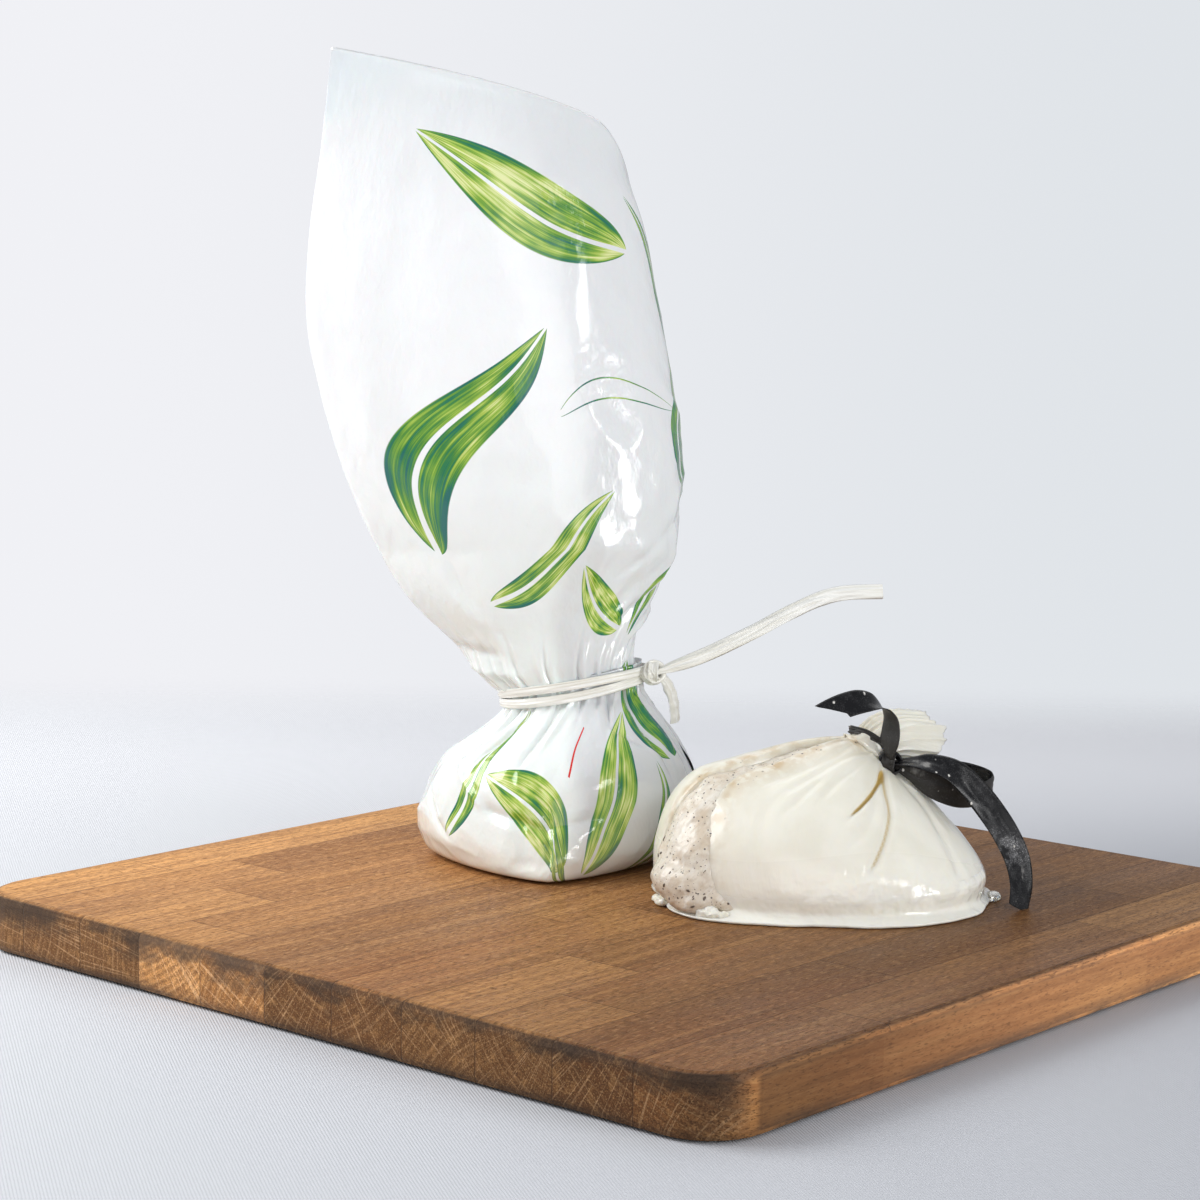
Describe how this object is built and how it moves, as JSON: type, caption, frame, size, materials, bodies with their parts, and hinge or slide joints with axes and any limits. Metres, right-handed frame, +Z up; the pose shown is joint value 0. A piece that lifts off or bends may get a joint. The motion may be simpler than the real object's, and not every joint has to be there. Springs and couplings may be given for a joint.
{
  "type": "burrata on a board",
  "caption": "Torn truffle burrata in a pool of cream, tied with a black ribbon, beside a packed one in a tied bag, on a square wooden serving board.",
  "frame": {"origin": "centre of the board's underside", "axes": "+Z up, +Y along the board's staves, +X across them, towards the board's long-grain side on the viewer's right"},
  "size_m": [0.336, 0.34, 0.317],
  "materials": {
    "board_wood": "brown walnut-like staves with an oiled, half-matt finish",
    "cream": "liquid cream, wet and glossy",
    "curd_skin": "stretched curd, ivory white, moist and slightly translucent",
    "truffle_cream": "curd shreds in cream with dark truffle flecks, beige and moist",
    "black_satin": "black satin ribbon with a soft sheen",
    "bag_film": null,
    "tie_plastic": "ivory flat plastic tie"
  },
  "bodies": {
    "root": {"board": "board_wood", "cream_puddle": "cream", "pouch": "curd_skin", "filling": "truffle_cream", "black_ribbon": "black_satin", "pack_bag": "bag_film", "pack_tie": "tie_plastic"}
  },
  "joints": []
}
